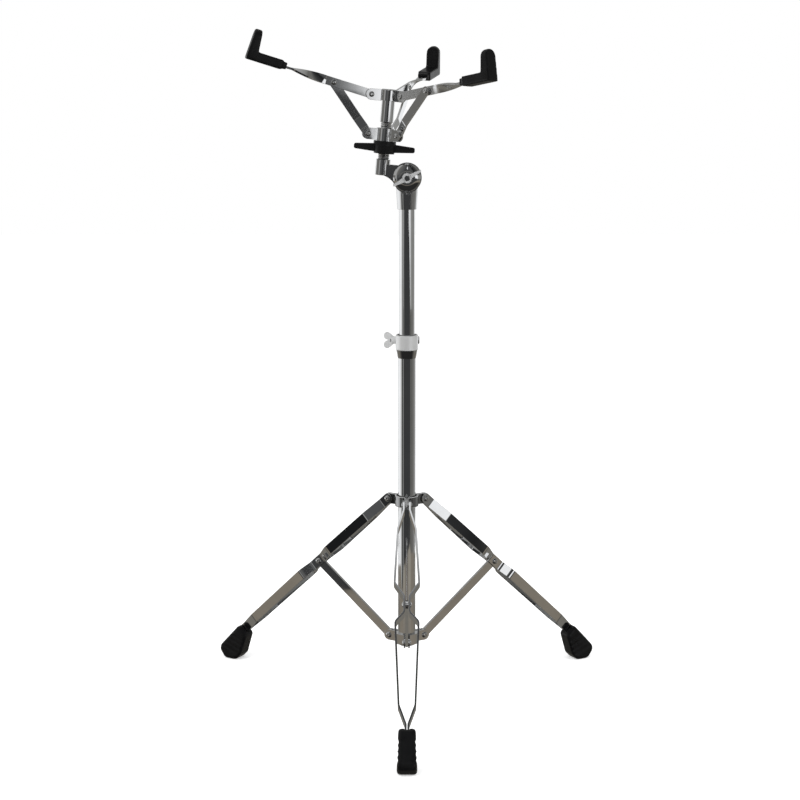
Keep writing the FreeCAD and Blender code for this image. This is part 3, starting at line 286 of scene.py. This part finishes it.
def add_ramp(tree, source, stops):
    """Colour ramp with the given (position, colour) stops."""
    ramp = tree.nodes.new("ShaderNodeValToRGB")
    first, last = ramp.color_ramp.elements
    first.position, first.color = stops[0]
    last.position, last.color = stops[-1]
    for position, colour in stops[1:-1]:
        ramp.color_ramp.elements.new(position).color = colour
    tree.links.new(source, ramp.inputs["Fac"])
    return ramp.outputs["Color"]


def add_bump(tree, source, strength, distance, under):
    """Bump from a height, over the normal of another node."""
    bump = tree.nodes.new("ShaderNodeBump")
    bump.inputs["Strength"].default_value = strength
    bump.inputs["Distance"].default_value = distance
    tree.links.new(source, bump.inputs["Height"])
    tree.links.new(under, bump.inputs["Normal"])
    return bump.outputs["Normal"]


def add_soft_edge(tree, radius):
    """Normal that rounds the part's sharp edges."""
    soft = tree.nodes.new("ShaderNodeBevel")
    soft.samples = EDGE_SAMPLES
    soft.inputs["Radius"].default_value = radius
    return soft.outputs["Normal"]


def add_math(tree, operation, first, second):
    """Sum, product or angle of a socket and a socket or number."""
    node = tree.nodes.new("ShaderNodeMath")
    node.operation = operation
    for place, value in enumerate((first, second)):
        if isinstance(value, (int, float)):
            node.inputs[place].default_value = value
        else:
            tree.links.new(value, node.inputs[place])
    return node.outputs["Value"]


def add_mix(tree, factor, below, above):
    """Colour mix; each colour is a socket or a plain colour."""
    mix = tree.nodes.new("ShaderNodeMix")
    mix.data_type = "RGBA"
    tree.links.new(factor, mix.inputs["Factor"])
    for place, value in (("A", below), ("B", above)):
        socket = next(item for item in mix.inputs if item.name == place and item.type == "RGBA")
        if isinstance(value, tuple):
            socket.default_value = value
        else:
            tree.links.new(value, socket)
    return next(item for item in mix.outputs if item.type == "RGBA")


def darker(colour, share):
    """The same colour at a share of its brightness."""
    return (colour[0] * share, colour[1] * share, colour[2] * share, 1.0)


def chrome_material(name, colour, polish, waviness, edge=EDGE_ROUND):
    """Bright chrome plate: faint handling haze, soft edges and a slight waviness of the pressing."""
    material, tree, output = new_material(name)
    shader = tree.nodes.new("ShaderNodeBsdfPrincipled")
    shader.inputs["Metallic"].default_value = 1.0
    haze = add_noise(tree, *HAZE)
    tint = add_ramp(tree, haze, [(HAZE_STOPS[0], darker(colour, HAZE_SHADE)), (HAZE_STOPS[1], colour)])
    tree.links.new(tint, shader.inputs["Base Color"])
    rough = add_range(tree, haze, *HAZE_SPAN, polish, polish + HAZE_ROUGH)
    tree.links.new(rough, shader.inputs["Roughness"])
    wave = add_noise(tree, *WAVE)
    normal = add_bump(tree, wave, waviness, WAVE_DEPTH, add_soft_edge(tree, edge))
    tree.links.new(normal, shader.inputs["Normal"])
    tree.links.new(shader.outputs["BSDF"], output.inputs["Surface"])
    return material


def painted_rim_and_shade_material(name, face):
    """Pressed plate: its rounded edges turn rough and partly non-metal as a painted highlight along the rims, and
    its faces are darkened as painted shade between the legs.
    """
    material = chrome_material(name, CHROME, COLLAR_ROUGH[1], COLLAR_WAVE, COLLAR_ROUND)
    tree = material.node_tree
    shader = find_node(tree, "BSDF_PRINCIPLED")
    geometry = tree.nodes.new("ShaderNodeNewGeometry")
    alike = tree.nodes.new("ShaderNodeVectorMath")
    alike.operation = "DOT_PRODUCT"
    tree.links.new(find_node(tree, "BEVEL").outputs["Normal"], alike.inputs[0])
    tree.links.new(geometry.outputs["Normal"], alike.inputs[1])
    flat = alike.outputs["Value"]
    # Painted shade on the faces, the full chrome colour on the edges
    tint = add_ramp(tree, flat, [(COLLAR_TURN[0], CHROME), (COLLAR_TURN[1], face)])
    tree.links.new(tint, shader.inputs["Base Color"])
    tree.links.new(add_range(tree, flat, *COLLAR_TURN, *COLLAR_ROUGH), shader.inputs["Roughness"])
    # Painted highlight: the edges turn partly non-metal so that they show bright
    tree.links.new(add_range(tree, flat, *COLLAR_TURN, *COLLAR_METAL), shader.inputs["Metallic"])
    return material


def satin_material(name):
    """Bead-blasted chrome: bright, with fine grain in place of a mirror."""
    material = chrome_material(name, SATIN, SATIN_ROUGH, SATIN_WAVE)
    find_node(material.node_tree, "BSDF_PRINCIPLED").inputs["Metallic"].default_value = WING_METAL
    return material


def turn_finish(material, axis, place, blur, rough, metal):
    """Changes a casting's roughness and metal from one value to another at a place along an axis."""
    tree = material.node_tree
    shader = find_node(tree, "BSDF_PRINCIPLED")
    along = add_place(tree, "Object")[axis]
    ends = (place - blur * MM, place + blur * MM)
    tree.links.new(add_range(tree, along, *ends, *rough), shader.inputs["Roughness"])
    tree.links.new(add_range(tree, along, *ends, *metal), shader.inputs["Metallic"])
    return material


def clamp_material(name):
    """Cast clamp: a satin band above a polished skirt."""
    band_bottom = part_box("height_clamp")[1][2] - CLAMP_BAND * MM
    casting = chrome_material(name, SATIN, SATIN_ROUGH, SATIN_WAVE)
    return turn_finish(casting, "Z", band_bottom, CLAMP_TURN, (SKIRT_ROUGH, SATIN_ROUGH), (1.0, SATIN_METAL))


def nut_material(name):
    """Cast wing nut: a satin hub and wings in front of a polished dome."""
    wing_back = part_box("tilter_wing_nut")[0][1] + NUT_WINGS * MM
    casting = chrome_material(name, CHROME, CAST_ROUGH, CAST_WAVE)
    return turn_finish(casting, "Y", wing_back, NUT_TURN, NUT_ROUGH, (NUT_METAL, 1.0))


def moulded_material(name, colour, roughness, gloss, grain_scale, grain_depth, edge):
    """Black moulded rubber or plastic: fine grain, faint dust, uneven gloss and soft edges."""
    material, tree, output = new_material(name)
    shader = tree.nodes.new("ShaderNodeBsdfPrincipled")
    shader.inputs["Specular IOR Level"].default_value = gloss
    cloud = add_noise(tree, *DUST)
    tint = add_ramp(tree, cloud, [(DUST_STOPS[0], colour), (DUST_STOPS[1], darker(colour, DUST_SHADE))])
    tree.links.new(tint, shader.inputs["Base Color"])
    rough = add_range(tree, cloud, *GLOSS_SPAN, roughness - GLOSS_SPREAD, roughness + GLOSS_SPREAD)
    tree.links.new(rough, shader.inputs["Roughness"])
    grain = add_noise(tree, grain_scale, GRAIN_DETAIL)
    normal = add_bump(tree, grain, GRAIN_STRENGTH, grain_depth, add_soft_edge(tree, edge))
    tree.links.new(normal, shader.inputs["Normal"])
    tree.links.new(shader.outputs["BSDF"], output.inputs["Surface"])
    return material


def make_finishes():
    """Materials by the record's slots, and those of single pieces."""
    cast = darker(CHROME, CAST_SHADE)
    return {
        "chromed_steel": chrome_material("chrome_plate", CHROME, PLATE_ROUGH, PLATE_WAVE),
        # Collar plates: painted shade on the faces and a painted highlight on the rims
        "collar_painted_shade_chrome": painted_rim_and_shade_material("collar_painted_shade_chrome", darker(CHROME, COLLAR_FACE_PAINTED_SHADE)),
        "twisted_chrome": chrome_material("twisted_chrome", CHROME, ARM_ROUGH, PLATE_WAVE),
        "chromed_casting": chrome_material("chrome_casting", cast, CAST_ROUGH, CAST_WAVE),
        "satin_casting": satin_material("satin_casting"),
        "nut_casting": nut_material("nut_casting"),
        "clamp_casting": clamp_material("clamp_casting"),
        "black_rubber": moulded_material("black_rubber", RUBBER, *RUBBER_FINISH),
        "black_plastic": moulded_material("black_plastic", PLASTIC, *PLASTIC_FINISH),
        "black_nylon": moulded_material("black_nylon", NYLON, *NYLON_FINISH),
    }


def dress_nodes(finishes):
    """Gives every CAD node its finish."""
    for part in frame["record"]["subparts"]:
        node = frame["nodes"][part["node"]]
        node.data.materials.clear()
        node.data.materials.append(finishes[part["material_slot"]])
    single = {
        "height_clamp": "clamp_casting", "clamp_wing_nut": "satin_casting", "tilter_wing_nut": "nut_casting",
        "arm_right": "twisted_chrome", "arm_back": "twisted_chrome",
    }
    for side in ("right", "back", "left"):
        single[f"collar_plate_{side}"] = "collar_painted_shade_chrome"
    for name, finish in single.items():
        frame["nodes"][name].data.materials[0] = finishes[finish]


def round_rubber(names, rounds):
    """Rounds the moulded corners of rubber pieces."""
    for name in names:
        piece = frame["nodes"][name]
        even = piece.modifiers.new("even_mesh", "REMESH")
        even.mode = "VOXEL"
        even.voxel_size = RUBBER_VOXEL * MM
        even.use_smooth_shade = True
        soft = piece.modifiers.new("round_corners", "SMOOTH")
        soft.factor = ROUND_FACTOR
        soft.iterations = rounds


def degree_stops(ring):
    """Ramp stops from a ring of (degrees, colour)."""
    return [((degrees + 180) / 360, colour) for degrees, colour in ring]


def add_step(tree, source, edge):
    """Smooth step from 0 to 1 between two angles in degrees."""
    return add_range(tree, source, math.radians(edge[0]), math.radians(edge[1]), 0.0, 1.0, smooth=True)


def add_lift(tree, aside, start, end, low, high):
    """Height in degrees that goes from low to high between two angles to the side."""
    low, high = math.radians(low), math.radians(high)
    return add_range(tree, aside, math.radians(start), math.radians(end), low, high)


def add_band(tree, source, sides):
    """One inside two soft sides, given in degrees, and zero outside them."""
    rise, fall = sides
    inside = add_step(tree, source, rise)
    before_end = add_range(tree, source, math.radians(fall[0]), math.radians(fall[1]), 1.0, 0.0, smooth=True)
    return add_math(tree, "MULTIPLY", inside, before_end)


def studio_colour(tree):
    """What the chrome mirrors: walls and soft boxes, a dim ceiling, a dark room in front, a warm table."""
    parts = add_place(tree, "Generated")
    forward = add_math(tree, "MULTIPLY", parts["Y"], -1.0)
    around = add_math(tree, "ARCTAN2", parts["X"], forward)
    aside = add_math(tree, "ABSOLUTE", around, 0.0)
    height = add_math(tree, "ARCSINE", parts["Z"], 0.0)
    turn = add_range(tree, around, -math.pi, math.pi, 0.0, 1.0)
    eye = add_ramp(tree, turn, degree_stops(EYE_RING))
    eye = add_mix(tree, add_band(tree, around, BOX_SIDES), eye, SOFT_WHITE)
    upper = add_ramp(tree, turn, degree_stops(UPPER_RING))
    strip_side = add_band(tree, around, STRIP_SIDES)
    strip = add_math(tree, "MULTIPLY", strip_side, add_band(tree, height, STRIP_ENDS))
    upper = add_mix(tree, strip, upper, SOFT_WHITE)
    colour = add_mix(tree, add_step(tree, height, UPPER_START), eye, upper)
    colour = add_mix(tree, add_step(tree, height, ZENITH_START), colour, SOFT_WHITE)
    low = add_ramp(tree, turn, degree_stops(LOW_RING))
    low_top = add_lift(tree, aside, 0, LOW_TURN, *LOW_TOP)
    left_rise = add_lift(tree, around, *LEFT_TOP, 0)
    corner = add_math(tree, "MULTIPLY", add_band(tree, around, CORNER_SIDES), math.radians(CORNER_DROP))
    low_top = add_math(tree, "ADD", add_math(tree, "ADD", low_top, left_rise), corner)
    above = add_math(tree, "SUBTRACT", height, low_top)
    colour = add_mix(tree, add_step(tree, above, LOW_BLUR), low, colour)
    far_table = add_ramp(tree, turn, degree_stops(TABLE_RING))
    lit_edge = add_ramp(tree, turn, degree_stops(EDGE_RING))
    near_table = add_ramp(tree, turn, degree_stops(NEAR_RING))
    table = add_mix(tree, add_step(tree, height, TABLE_FOOT), near_table, far_table)
    table = add_mix(tree, add_step(tree, height, TABLE_GLOW), table, lit_edge)
    tilt = add_lift(tree, around, -TABLE_TILT[0], TABLE_TILT[0], -TABLE_TILT[1], TABLE_TILT[1])
    left = add_lift(tree, around, *LEFT_EDGE, 0)
    bow = add_lift(tree, aside, *TABLE_BOW, 0)
    edge = add_math(tree, "ADD", add_math(tree, "ADD", tilt, left), bow)
    level = add_math(tree, "SUBTRACT", height, edge)
    return add_mix(tree, add_step(tree, level, TABLE_TOP), table, colour)


def make_world():
    """White studio to the camera, even light on the object, and the studio's parts in the chrome."""
    world = bpy.data.worlds.new("studio")
    world.use_nodes = True
    tree = world.node_tree
    tree.nodes.clear()
    output = tree.nodes.new("ShaderNodeOutputWorld")
    rays = tree.nodes.new("ShaderNodeLightPath")
    mirrored = add_mix(tree, rays.outputs["Is Glossy Ray"], SOFT_LIGHT, studio_colour(tree))
    seen = add_mix(tree, rays.outputs["Is Camera Ray"], mirrored, WHITE)
    background = tree.nodes.new("ShaderNodeBackground")
    tree.links.new(seen, background.inputs["Color"])
    tree.links.new(background.outputs["Background"], output.inputs["Surface"])
    bpy.context.scene.world = world


def make_floor():
    """Pale floor that keeps the object's soft shadow."""
    bpy.ops.mesh.primitive_plane_add(size=FLOOR_SIZE, location=(0, 0, 0))
    floor = bpy.context.object
    floor.name = "floor"
    material, tree, output = new_material("pale_floor")
    diffuse = tree.nodes.new("ShaderNodeBsdfDiffuse")
    diffuse.inputs["Color"].default_value = FLOOR_COLOUR
    glow = tree.nodes.new("ShaderNodeEmission")
    glow.inputs["Color"].default_value = WHITE
    rays = tree.nodes.new("ShaderNodeLightPath")
    glow_level = add_range(tree, rays.outputs["Is Camera Ray"], 0.0, 1.0, 0.0, FLOOR_GLOW)
    tree.links.new(glow_level, glow.inputs["Strength"])
    both = tree.nodes.new("ShaderNodeAddShader")
    tree.links.new(diffuse.outputs["BSDF"], both.inputs[0])
    tree.links.new(glow.outputs["Emission"], both.inputs[1])
    tree.links.new(both.outputs["Shader"], output.inputs["Surface"])
    floor.data.materials.append(material)
    floor.visible_glossy = False


def make_lamp(name, place, size, watts):
    """Soft round lamp that points at the stand and isn't mirrored in its chrome."""
    lamp = bpy.data.lights.new(name, "AREA")
    lamp.shape = "DISK"
    lamp.size = size
    lamp.energy = watts
    holder = bpy.data.objects.new(name, lamp)
    bpy.context.collection.objects.link(holder)
    holder.location = place
    holder.visible_glossy = False
    holder.rotation_euler = (LAMP_TARGET - Vector(place)).to_track_quat("-Z", "Y").to_euler()


def make_camera():
    """Camera at the photograph's viewing angle."""
    camera = bpy.data.cameras.new("camera")
    camera.lens = CAMERA_LENS
    camera.sensor_width = CAMERA_SENSOR
    camera.clip_end = CAMERA_REACH
    holder = bpy.data.objects.new("camera", camera)
    bpy.context.collection.objects.link(holder)
    turn = Matrix.Rotation(math.radians(CAMERA_YAW), 4, "Z")
    tip = Matrix.Rotation(math.radians(90 - CAMERA_PITCH), 4, "X")
    holder.matrix_world = Matrix.Translation(CAMERA_AT) @ turn @ tip
    bpy.context.scene.camera = holder


def ring_points(radius, along):
    """Points of a circle of a pin, in mm, with Z along it."""
    points = []
    for side in range(RING_SIDES):
        angle = 2 * math.pi * side / RING_SIDES
        points.append(Vector((radius * math.cos(angle), radius * math.sin(angle), along)))
    return points


def hexagon_points(across, along):
    """Points of a hexagon of a bolt's head or socket, given its width across the flats."""
    points = []
    for side in range(RING_SIDES):
        angle = 2 * math.pi * side / RING_SIDES
        from_flat = (angle + math.pi / 6) % (math.pi / 3) - math.pi / 6
        reach = across / 2 / math.cos(from_flat)
        points.append(Vector((reach * math.cos(angle), reach * math.sin(angle), along)))
    return points


def thread_points(along, pitch, radius, depth):
    """Points of one ring of a screw thread: a rounded ridge that winds once for each pitch."""
    points = []
    for side in range(RING_SIDES):
        angle = 2 * math.pi * side / RING_SIDES
        phase = 2 * math.pi * along / pitch - angle
        reach = radius - depth * (0.5 - 0.5 * math.cos(phase))
        points.append(Vector((reach * math.cos(angle), reach * math.sin(angle), along)))
    return points


def thread_rings(start, end, pitch, radius, depth):
    """Rings of a screw thread from start to end."""
    step = pitch / THREAD_STEPS
    count = int((end - start) / step)
    return [thread_points(start + index * step, pitch, radius, depth) for index in range(count)]


def add_loft(mesh, rings, foot, axis):
    """Skin over a stack of rings, closed at both ends, with its Z along the axis from the foot."""
    turn = Vector((0, 0, 1)).rotation_difference(axis).to_matrix()
    rows = []
    for ring in rings:
        rows.append([mesh.verts.new(foot + turn @ (point * MM)) for point in ring])
    for lower, upper in zip(rows, rows[1:]):
        for side in range(RING_SIDES):
            after = (side + 1) % RING_SIDES
            mesh.faces.new((lower[side], lower[after], upper[after], upper[side]))
    mesh.faces.new(list(reversed(rows[0])))
    mesh.faces.new(rows[-1])


def make_piece(name, node, lofts, finish, body):
    """Lofts in place of a plain CAD node, smooth but for their sharp edges, that ride on a body."""
    mesh = bmesh.new()
    for rings, foot, axis in lofts:
        add_loft(mesh, rings, foot, axis)
    data = bpy.data.meshes.new(name)
    mesh.to_mesh(data)
    mesh.free()
    data.shade_smooth()
    data.set_sharp_from_angle(angle=math.radians(SHARP_ANGLE))
    data.materials.append(finish)
    piece = bpy.data.objects.new(name, data)
    bpy.context.collection.objects.link(piece)
    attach(piece, body)
    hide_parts(node)


def pin_ends(node, point, axis, reach):
    """Lowest and highest place of a node's pin along its axis, in metres from the point."""
    places = []
    for vertex in frame["nodes"][node].data.vertices:
        offset = vertex.co - point
        along = offset.dot(axis)
        if (offset - axis * along).length < reach:
            places.append(along)
    return min(places), max(places)


def pivot(joint):
    """Place and axis of a joint."""
    return Vector(joints[joint]["pos_m"]), Vector(joints[joint]["axis"]).normalized()


def turned_pivot(joint, degrees):
    """Place and axis of a joint, turned about the column."""
    point, axis = pivot(joint)
    turn = Matrix.Rotation(math.radians(degrees), 3, "Z")
    return turn @ point, turn @ axis


def make_rivets(name, node, pivots, sizes, finish, body):
    """Rivets with domed and dimpled heads in place of a node's plain ones."""
    shank_radius, head_radius, head_height = sizes
    lofts = []
    for point, axis in pivots:
        low, high = pin_ends(node, point, axis, 2 * head_radius * MM)
        length = (high - low) / MM
        rings = [ring_points(head_radius * wide, head_height * (1 - tall)) for wide, tall in HEAD_SHAPE]
        rings.append(ring_points(shank_radius, head_height))
        rings.append(ring_points(shank_radius, length - head_height))
        for wide, tall in reversed(HEAD_SHAPE):
            rings.append(ring_points(head_radius * wide, length - head_height * (1 - tall)))
        lofts.append((rings, point + axis * low, axis))
    make_piece(name, node, lofts, finish, body)


def make_all_rivets(finish):
    """Every rivet of the tripod and the basket."""
    bracket = [pivot("leg_fold"), pivot("stay_right_hinge"), pivot("stay_left_hinge")]
    make_rivets("bracket_rivet_heads", "bracket_rivets", bracket, LEG_RIVET, finish, "base")
    for name, degrees in (("front", 0), ("right", 120), ("left", 240)):
        pivots = [turned_pivot("leg_collar_hinge", degrees), pivot(f"leg_{name}_hinge")]
        body = f"leg_{name}"
        make_rivets(f"{body}_rivet_heads", f"{body}_rivets", pivots, LEG_RIVET, finish, body)
    up = Vector(joints["basket_slide"]["axis"]).normalized()
    ring = []
    collar = []
    for name in ("back", "left", "right"):
        point, axis = pivot(f"arm_{name}_hinge")
        ring.append((point, axis))
        collar.append((point - up * COLLAR_BELOW_RING * MM, axis))
        body = f"arm_{name}"
        pivots = [pivot(f"strut_{name}_hinge")]
        make_rivets(f"{body}_rivet_heads", f"{body}_rivet", pivots, BASKET_RIVET, finish, body)
    make_rivets("ring_rivet_heads", "ring_rivets", ring, BASKET_RIVET, finish, "basket_frame")
    make_rivets("collar_rivet_heads", "strut_rivets", collar, BASKET_RIVET, finish, "basket_slider")


def make_rod(finish):
    """Basket rod with its screw thread."""
    point, axis = pivot("basket_nut_turn")
    foot = point - axis * NUT_JOINT_HEIGHT * MM
    top = pin_ends("basket_rod", foot, axis, 2 * ROD_RADIUS * MM)[1] / MM
    rings = [ring_points(THREAD_RADIUS, SOCKET_FLOOR), ring_points(THREAD_RADIUS, THREAD_START)]
    thread = (THREAD_PITCH, THREAD_RADIUS, THREAD_DEPTH)
    rings += thread_rings(THREAD_START + ROD_EDGE, THREAD_END - ROD_EDGE, *thread)
    rings += [
        ring_points(THREAD_RADIUS - THREAD_DEPTH, THREAD_END), ring_points(ROD_RADIUS - ROD_EDGE, THREAD_END),
        ring_points(ROD_RADIUS, THREAD_END + ROD_EDGE), ring_points(ROD_RADIUS, top),
    ]
    make_piece("threaded_rod", "basket_rod", [(rings, foot, axis)], finish, "basket_frame")


def socket_head(radius, seat, top):
    """Rings of a round bolt head with a hexagon socket."""
    return [
        ring_points(radius, seat), ring_points(radius, top - BOLT_EDGE), ring_points(radius - BOLT_EDGE, top),
        hexagon_points(CLAMP_SOCKET, top), hexagon_points(CLAMP_SOCKET, top - CLAMP_SOCKET / 2),
    ]


def hexagon_head(radius, seat, top):
    """Rings of a hexagon bolt head, given the radius to its corners."""
    flats = radius * math.sqrt(3)
    return [
        hexagon_points(flats, seat), hexagon_points(flats, top - BOLT_EDGE),
        ring_points(flats / 2 - BOLT_EDGE, top),
    ]


def make_bolt(name, node, joint, bolt, head, finish, body):
    """Bolt with a threaded end and a shaped head in place of a node's plain one."""
    point, axis = pivot(joint)
    low, high = pin_ends(node, point, axis, 2 * bolt["head_radius"] * MM)
    length = (high - low) / MM
    seat = length - bolt["head"]
    radius, pitch, depth = bolt["radius"], bolt["pitch"], bolt["depth"]
    rings = [ring_points(radius - depth, 0.0)]
    rings += thread_rings(pitch / 2, bolt["thread"], pitch, radius, depth)
    rings += [ring_points(radius, bolt["thread"]), ring_points(radius, seat)]
    rings += head(bolt["head_radius"], seat, length)
    make_piece(name, node, [(rings, point + axis * low, axis)], finish, body)


make_camera()
make_world()
make_floor()
for lamp in LAMPS:
    make_lamp(*lamp)
finishes = make_finishes()
dress_nodes(finishes)
round_rubber(("tip_back", "tip_left", "tip_right"), TIP_ROUNDS)
round_rubber(("foot_front", "foot_right", "foot_left"), FOOT_ROUNDS)
steel = finishes["chromed_steel"]
make_all_rivets(steel)
make_rod(steel)
make_bolt("clamp_socket_bolt", "clamp_bolt", "clamp_nut_turn", CLAMP_BOLT, socket_head, steel, "base")
make_bolt("tilter_hexagon_bolt", "tilter_bolt", "tilter_nut_turn", TILTER_BOLT, hexagon_head, steel,
          "upper_column")

view = bpy.context.scene.view_settings
view.view_transform = "Standard"
